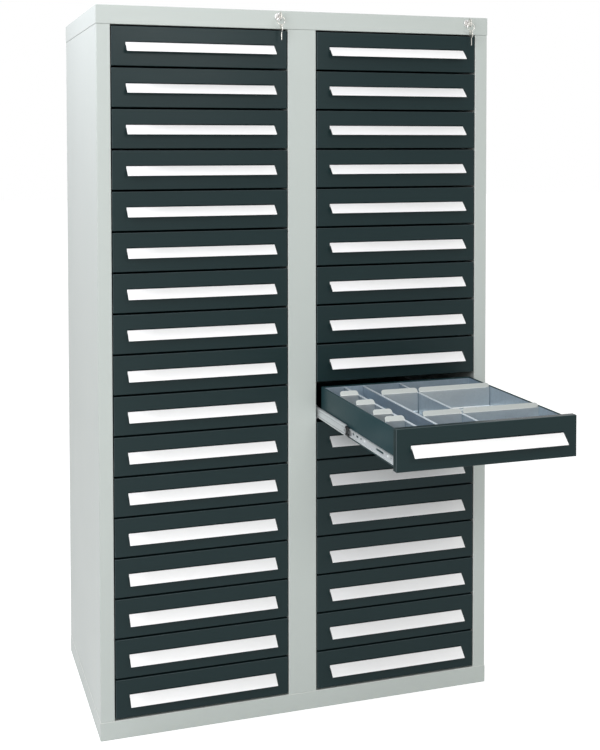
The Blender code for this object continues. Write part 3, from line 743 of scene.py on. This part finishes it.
cage_steel = brushed_metal(
    "oiled_cage_steel", CAGE_STEEL, roughness=0.45, grain=(300, 12, 300), spangle=0.01,
    bareness=0.6, relief=0.02,
)
cage_start = SLIDE_SETBACK + MIDDLE_SETBACK - CAGE_OUT
cage = rolled_section(CAGE_SECTION, cage_start, CAGE_LENGTH, CAGE_SHEET)
ball_count = int(CAGE_LENGTH / BALL_STEP)
ball_places = [cage_start + BALL_STEP * (number + 0.5) for number in range(ball_count)]
windows = [(y, 0, WINDOW) for y in ball_places]
cage = cut_by(cage, slot_cutter(windows, WINDOW, CAGE_SECTION[1][0]))
balls = bmesh.new()
for y in ball_places:
    for _, z in (CAGE_SECTION[0], CAGE_SECTION[-1]):
        place = Matrix.Translation((CAGE_SECTION[0][0] - BALL_RADIUS / 2, y, z))
        bmesh.ops.create_icosphere(balls, subdivisions=2, radius=BALL_RADIUS, matrix=place)
cage = merged([cage, finished(balls)])
for hand, mesh in (("left", cage), ("right", mirrored(cage))):
    piece = show(f"open_ball_cage_{hand}", moved(mesh, part_out), cage_steel)
    follow_part_way(piece, part_out, "open_drawer", CAGE_PART_WAY)

wall = DRAWER_SHEET + SEAT_GAP / 2
liner_low = Vector((
    TRAY_SIDE_GAP + wall, FRONT_THICKNESS + SEAT_GAP + wall, TRAY_FLOOR_HEIGHT + wall,
))
liner_high = Vector((OPENING_WIDTH - TRAY_SIDE_GAP - wall, DRAWER_LENGTH - wall, LINER_TOP))
bm = box_mesh(liner_low, liner_high)
mouth = [face for face in bm.faces if face.normal.z > SQUARE_ON]
folds = [edge for edge in bm.edges if mouth[0] not in edge.link_faces]
bmesh.ops.delete(bm, geom=mouth, context="FACES_ONLY")
round_over(bm, folds, TRAY_FOLD)
liner = moved(sheet_of(bm, LINER_SHEET), open_corner)
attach(show("open_tray_liner", liner, zinc_sheet), "open_drawer")

# Dividers
# Long dividers of zinc-coated sheet run from front to back, each with a folded strip over its top, whose
# paler colour is a painted highlight.
# Between them stand cross plates, whose tops are bent back as label lips with rounded corners.
DIVIDER_SHEET = 0.0009
HEM_WIDTH = 0.0018
HEM_DROP = 0.0014
HEM_BEND = 0.00063
DIVIDER_TOP = 0.084
DIVIDER_PLACE_SHARES = (0.153, 0.276, 0.519)
NARROW_PLATE_PLACE_SHARES = (0.21, 0.355, 0.575, 0.795)
WIDE_PLATE_PLACE_SHARES = (0.255, 0.76)
PLATE_BEND = 0.0855
PLATE_LIP = 0.013
PLATE_LIP_ANGLE = math.radians(40)
LIP_CORNER = 0.0075
LIP_NOTCH = 0.006
RIM_CLEARANCE = 0.012
BEAD_HEIGHTS = (0.0300, 0.0365)
BEAD = 0.0014
PLATE_PLAY = 0.0012
PLATE_ROUND = 0.0009
PLATE_BEND_ANGLE = math.radians(20)
LIP_CREAM = (0.46, 0.49, 0.475)
PLATE_ZINC = (0.81, 0.83, 0.82)
# Painted highlight: the hems take a paler, nearly matt zinc than the sheet, for the light on their rounded
# tops.
HEM_HIGHLIGHT_ZINC = (0.60, 0.67, 0.71)

plate_zinc = brushed_metal(
    "cross_plate_zinc", PLATE_ZINC, roughness=0.30, grain=(400, 60, 60), spangle=0.02,
    bareness=0.85, relief=0.05, over=LIP_CREAM,
)
# The hem's paler zinc is a painted highlight.
hem_highlight_zinc = brushed_metal(
    "rolled_hem_highlight_zinc", HEM_HIGHLIGHT_ZINC, roughness=0.60, grain=(60, 400, 60), spangle=0.02,
    bareness=0.1, relief=0.05,
)
inside_low = liner_low + Vector((LINER_SHEET + SEAT_GAP,) * 3)
inside_high = liner_high - Vector((LINER_SHEET + SEAT_GAP, LINER_SHEET + SEAT_GAP, 0))
tray_inside_x = (TRAY_SIDE_GAP + DRAWER_SHEET, OPENING_WIDTH - TRAY_SIDE_GAP - DRAWER_SHEET)
tray_inside_y = (FRONT_THICKNESS + SEAT_GAP + DRAWER_SHEET, DRAWER_LENGTH - DRAWER_SHEET)


def along(span, share):
    """The place at a share of a span."""
    return span[0] + (span[1] - span[0]) * share


def divider_strip(outline):
    """A strip of divider sheet with an outline in X and Z, that runs the length of the tray."""
    length = inside_high.y - inside_low.y
    bm = folded_strip([(x, inside_low.y, z) for x, z in outline], (0, length, 0))
    bm.normal_update()
    round_over(bm, [edge for edge in bm.edges if len(edge.link_faces) == 2], HEM_BEND)
    return sheet_of(bm, DIVIDER_SHEET, 0)


def long_divider(x):
    """A sheet on edge along Y, and the folded strip over its top."""
    top = DIVIDER_TOP - DIVIDER_SHEET / 2
    half = (HEM_WIDTH - DIVIDER_SHEET) / 2
    sheet = divider_strip([(x, inside_low.z), (x, top - DIVIDER_SHEET - SEAT_GAP)])
    hem = divider_strip([
        (x - half, top - HEM_DROP), (x - half, top), (x + half, top), (x + half, top - HEM_DROP),
    ])
    return sheet, hem


def cross_plate(x_span, y, clearance):
    """A plate with pressed beads and a lip that faces up and stays clear of the tray's rim."""
    lip_out = PLATE_LIP * math.sin(PLATE_LIP_ANGLE)
    lip_top = PLATE_BEND + PLATE_LIP * math.cos(PLATE_LIP_ANGLE) - DIVIDER_SHEET / 2
    outline = [(y, inside_low.z)]
    for bead in BEAD_HEIGHTS:
        outline += [(y, bead - BEAD), (y - BEAD, bead), (y, bead + BEAD)]
    outline += [(y, PLATE_BEND - LIP_NOTCH), (y, PLATE_BEND), (y + lip_out, lip_top)]
    start = x_span[0] + PLATE_PLAY
    length = x_span[1] - x_span[0] - 2 * PLATE_PLAY
    bm = folded_strip([(start, place, z) for place, z in outline], (length, 0, 0))
    for corner in list(bm.verts)[len(outline) - 2:len(outline)]:
        corner.co.x += clearance
    bm.normal_update()
    tips = [vert for vert in bm.verts if vert.co.z > lip_top - DIVIDER_SHEET]
    bmesh.ops.bevel(
        bm, geom=tips, offset=LIP_CORNER, segments=6, profile=0.5, affect="VERTICES", material=-1
    )
    bends = [
        edge for edge in bm.edges
        if len(edge.link_faces) == 2 and edge.calc_face_angle(0) > PLATE_BEND_ANGLE
    ]
    round_over(bm, bends, PLATE_ROUND, segments=2)
    # The lip faces take the lips' own cream tone.
    shade_and_lip_tone = bm.faces.layers.float.new("shade_and_lip_tone")
    for face in bm.faces:
        if face.calc_center_median().z > PLATE_BEND:
            face[shade_and_lip_tone] = 1.0
    return sheet_of(bm, DIVIDER_SHEET, 0)


divider_places = [along(tray_inside_x, share) for share in DIVIDER_PLACE_SHARES]
half = HEM_WIDTH / 2
rows = {
    "narrow": ((inside_low.x, divider_places[0] - half), NARROW_PLATE_PLACE_SHARES, RIM_CLEARANCE),
    "medium": ((divider_places[1] + half, divider_places[2] - half), WIDE_PLATE_PLACE_SHARES, 0),
    "wide": ((divider_places[2] + half, inside_high.x), WIDE_PLATE_PLACE_SHARES, 0),
}
divider_nodes = ["divider_narrow_row", "divider_plain", "divider_wide_rows"]
for number, (x, node) in enumerate(zip(divider_places, divider_nodes), start=1):
    sheet, hem = long_divider(x)
    for word, mesh, finish in (("long_divider", sheet, zinc_sheet), ("divider_hem", hem, hem_highlight_zinc)):
        placed = moved(mesh, open_corner)
        piece = show(f"{word}_{number}", placed, finish, [node])
        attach(piece, "open_drawer")
for word, (x_span, shares, clearance) in rows.items():
    node = "divider_narrow_row" if word == "narrow" else "divider_wide_rows"
    for number, share in enumerate(shares, start=1):
        place = along(tray_inside_y, share) + DIVIDER_SHEET / 2
        plate = moved(cross_plate(x_span, place, clearance), open_corner)
        piece = show(f"{word}_cross_plate_{number}", plate, plate_zinc, [node])
        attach(piece, "open_drawer")

# Locks
# A cylinder lock of chromed brass over each column, with a flat nickel key in it. A second key
# hangs from a wire ring in the first key's bow. The plug turns the cam that drives the lock bar.
FLANGE_RADIUS = 0.0098
FLANGE_THICKNESS = 0.0025
FLANGE_EDGE = 0.0008
BARREL_RADIUS = 0.0080
BARREL_LENGTH = 0.024
BARREL_EDGE = 0.0004
BORE_RADIUS = 0.0063
KEY_SHEET = 0.0020
KEY_EDGE = 0.0004
BOW_RADIUS = 0.011
BOW_HOLE = 0.0030
BOW_HOLE_REACH = 0.0065
KEY_NECK = 0.004
BLADE_HEIGHT = 0.0068
BLADE_SHEET = 0.0018
BLADE_IN = 0.017
BLADE_TIP = 0.0022
SPARE_BLADE = 0.0148
NOTCHES = [(0.18, 0.0016), (0.36, 0.0024), (0.54, 0.0012), (0.72, 0.0020)]
NOTCH_WIDTH = 0.0018
RING_RADIUS = 0.010
RING_WIRE = 0.0008
NOSE = -FLANGE_THICKNESS - SEAT_GAP
CHROME = (0.74, 0.74, 0.75)
NICKEL = (0.66, 0.64, 0.60)

chrome = brushed_metal(
    "lock_chrome_plate", CHROME, roughness=0.16, grain=(300, 300, 300), spangle=0.01
)
nickel = brushed_metal(
    "key_nickel_plate", NICKEL, roughness=0.24, grain=(300, 300, 300), spangle=0.02
)


def rounded_rod(radius, start, end, edge):
    """A cylinder along Y with its rims rounded."""
    bm = rod_mesh(radius, (0, start, 0), (0, end, 0), segments=40)
    rims = [line for line in bm.edges if abs(line.verts[0].co.y - line.verts[1].co.y) < edge]
    round_over(bm, rims, edge, segments=2)
    return finished(bm)


def key_blank(blade_length):
    """A flat key in the plane of Y and Z: its blade ends at the origin, its bow towards -Y."""
    bow_y = -blade_length - KEY_NECK - BOW_RADIUS
    half = KEY_SHEET / 2
    bow = rod_mesh(BOW_RADIUS, (-half, bow_y, 0), (half, bow_y, 0), segments=36)
    rims = [line for line in bow.edges if abs(line.verts[0].co.x - line.verts[1].co.x) < half]
    round_over(bow, rims, KEY_EDGE, segments=2)
    blade = box_mesh(
        (-BLADE_SHEET / 2, bow_y, -BLADE_HEIGHT / 2), (BLADE_SHEET / 2, 0, BLADE_HEIGHT / 2)
    )
    tip = [
        line for line in blade.edges if all(vert.co.y > -BLADE_TIP for vert in line.verts)
        and abs(line.verts[0].co.z - line.verts[1].co.z) < BLADE_TIP
    ]
    round_over(blade, tip, BLADE_TIP, segments=2)
    key = cut_by(finished(bow), finished(blade), "UNION")
    hole_y = bow_y - BOW_HOLE_REACH
    hole = rod_mesh(BOW_HOLE, (-KEY_SHEET, hole_y, 0), (KEY_SHEET, hole_y, 0), segments=24)
    key = cut_by(key, finished(hole))
    notches = bmesh.new()
    for share, depth in NOTCHES:
        place = Matrix.Translation((0, -blade_length * (1 - share), BLADE_HEIGHT / 2))
        size = Matrix.Diagonal((KEY_SHEET * 2, NOTCH_WIDTH, depth * 2, 1))
        bmesh.ops.create_cube(notches, size=1, matrix=place @ size)
    return cut_by(key, finished(notches))


def wire_ring():
    """A ring of wire that hangs from the origin, in the plane of X and Z."""
    bm = bmesh.new()
    turn = Matrix.Rotation(math.radians(90), 4, "Y")
    bmesh.ops.create_circle(bm, radius=RING_WIRE, segments=10, matrix=turn)
    bmesh.ops.spin(
        bm, geom=list(bm.verts) + list(bm.edges), cent=(0, 0, -RING_RADIUS), axis=(0, 1, 0),
        angle=math.radians(360), steps=36, use_merge=True,
    )
    bmesh.ops.recalc_face_normals(bm, faces=bm.faces)
    return finished(bm)


flange = rounded_rod(FLANGE_RADIUS, NOSE, -SEAT_GAP, FLANGE_EDGE)
sleeve = rounded_rod(BARREL_RADIUS, NOSE / 2, BARREL_LENGTH, BARREL_EDGE)
bore = rod_mesh(BORE_RADIUS, (0, NOSE - CUT_THROUGH, 0), (0, BARREL_LENGTH + CUT_THROUGH, 0))
barrel = cut_by(cut_by(flange, sleeve, "UNION"), finished(bore))
key = key_blank(BLADE_IN)
spare = key_blank(SPARE_BLADE)
spare.transform(Matrix.Rotation(math.radians(-90), 4, "X"))
ring = wire_ring()
hole_to_tip = SPARE_BLADE + KEY_NECK + BOW_RADIUS + BOW_HOLE_REACH
for side in ("left", "right"):
    barrel_low, barrel_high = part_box(f"lock_barrel_{side}")
    axis = (barrel_low + barrel_high) / 2
    axis.y = front_plane
    in_lock = axis + Vector((0, NOSE + BLADE_IN, 0))
    bow_hole = axis + Vector((0, NOSE - KEY_NECK - BOW_RADIUS - BOW_HOLE_REACH, 0))
    hang = bow_hole - Vector((0, 0, BOW_HOLE - RING_WIRE - SEAT_GAP))
    tip = hang - Vector((0, 0, 2 * RING_RADIUS - RING_WIRE + BOW_HOLE + hole_to_tip))
    pieces = [
        ("barrel", barrel, axis, chrome, "lock_chrome", [f"lock_barrel_{side}"], "cabinet"),
        ("key_in_lock", key, in_lock, nickel, "key_nickel", [f"key_{side}"], f"key_{side}"),
        ("ring", ring, hang, nickel, "key_nickel", [], f"spare_key_{side}"),
        ("hanging_key", spare, tip, nickel, "key_nickel", [f"spare_key_{side}"],
         f"spare_key_{side}"),
    ]
    for word, mesh, place, finish, slot, nodes, body in pieces:
        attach(show(f"{word}_{side}", moved(mesh, place), finish, nodes), body)
    for node, finish in ((f"lock_plug_{side}", chrome), (f"lock_bar_{side}", slide_zinc)):
        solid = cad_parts[node]
        solid.data.materials.clear()
        solid.data.materials.append(finish)

# Studio
# A pale floor that fades into a white room, soft lamps in front, on the left and overhead, a weak
# warm one on the right, and the camera where the photograph was taken from.
FLOOR_REACH = 30
FLOOR_DROP = 0.0005
FLOOR_WHITE = 0.82
FLOOR_GLOW = 0.62
ROOM_LIGHT = 0.54

floor_bm = bmesh.new()
bmesh.ops.create_grid(floor_bm, x_segments=1, y_segments=1, size=FLOOR_REACH)
floor = bpy.data.objects.new("floor", finished(floor_bm))
bpy.context.scene.collection.objects.link(floor)
floor.location = (0, 0, -FLOOR_DROP)


def seen_by(tree, *rays):
    """A factor of 1 for what rays of the given kinds see, and 0 for the light on the object."""
    path = tree.nodes.new("ShaderNodeLightPath")
    seen = path.outputs[rays[0]]
    for ray in rays[1:]:
        either = tree.nodes.new("ShaderNodeMath")
        either.operation = "MAXIMUM"
        tree.links.new(seen, either.inputs[0])
        tree.links.new(path.outputs[ray], either.inputs[1])
        seen = either.outputs[0]
    return seen


pale = bpy.data.materials.new("pale_floor")
pale.use_nodes = True
tree = pale.node_tree
surface = tree.nodes["Principled BSDF"]
surface.inputs["Base Color"].default_value = (FLOOR_WHITE, FLOOR_WHITE, FLOOR_WHITE, 1)
surface.inputs["Roughness"].default_value = 0.9
surface.inputs["Specular IOR Level"].default_value = 0.2
surface.inputs["Emission Color"].default_value = (1, 1, 1, 1)
glow = tree.nodes.new("ShaderNodeMath")
glow.operation = "MULTIPLY"
glow.inputs[1].default_value = FLOOR_GLOW
tree.links.new(seen_by(tree, "Is Camera Ray", "Is Glossy Ray"), glow.inputs[0])
tree.links.new(glow.outputs[0], surface.inputs["Emission Strength"])
floor.data.materials.append(pale)

room = bpy.data.worlds.new("white_room")
bpy.context.scene.world = room
room.use_nodes = True
tree = room.node_tree
background = tree.nodes["Background"]
background.inputs["Color"].default_value = (1, 1, 1, 1)
level = tree.nodes.new("ShaderNodeMapRange")
level.inputs["To Min"].default_value = ROOM_LIGHT
level.inputs["To Max"].default_value = 1.0
seen = seen_by(tree, "Is Camera Ray", "Is Glossy Ray", "Is Transmission Ray")
tree.links.new(seen, level.inputs["Value"])
tree.links.new(level.outputs["Result"], background.inputs["Strength"])


def soft_lamp(name, place, aim, width, power, colour=(1, 1, 1)):
    """A square lamp that shines from its place towards its aim."""
    lamp = bpy.data.lights.new(name, "AREA")
    lamp.shape = "SQUARE"
    lamp.size = width
    lamp.energy = power
    lamp.color = colour
    item = bpy.data.objects.new(name, lamp)
    bpy.context.scene.collection.objects.link(item)
    item.location = place
    item.rotation_euler = (Vector(aim) - Vector(place)).to_track_quat("-Z", "Y").to_euler()


soft_lamp("high_lamp", (0.25, -3.1, 2.25), (-0.1, -0.3, 1.1), 0.7, 16.8)
soft_lamp("key_lamp", (-0.8, -3.4, 0.65), (0.0, -0.3, 0.75), 1.2, 12, (1.0, 1.0, 0.96))
soft_lamp("left_lamp", (-2.2, -2.4, 2.2), (-0.2, -0.3, 0.9), 1.4, 27.6, (0.99, 1.0, 1.03))
soft_lamp("top_lamp", (-1.2, -0.2, 2.5), (-0.5, -0.1, 1.6), 0.6, 14.4, (1.02, 1.0, 1.09))
soft_lamp("ceiling_lamp", (0.3, -1.5, 3.4), (0.2, -0.7, 0.9), 1.6, 5.4)
soft_lamp("right_lamp", (2.6, -3.0, 1.0), (0.3, -0.2, 0.5), 1.6, 3.0, (1.0, 0.96, 0.86))

FOCAL_LENGTH = 71.21
SENSOR_WIDTH = 36
LENS_SHIFT = -0.308
CAMERA_PLACE = (-0.9499, -3.1411, 1.4522)
CAMERA_HEADING = -18.26
CAMERA_TILT = 90 - 2.06
CAMERA_ROLL = -0.08

view = bpy.data.cameras.new("camera")
view.sensor_fit = "HORIZONTAL"
view.sensor_width = SENSOR_WIDTH
view.lens = FOCAL_LENGTH
view.shift_y = LENS_SHIFT
camera = bpy.data.objects.new("camera", view)
bpy.context.scene.collection.objects.link(camera)
turn = (
    Matrix.Rotation(math.radians(CAMERA_HEADING), 4, "Z")
    @ Matrix.Rotation(math.radians(CAMERA_TILT), 4, "X")
    @ Matrix.Rotation(math.radians(CAMERA_ROLL), 4, "Z")
)
camera.matrix_world = Matrix.Translation(CAMERA_PLACE) @ turn
bpy.context.scene.camera = camera
bpy.context.scene.view_settings.view_transform = "Standard"
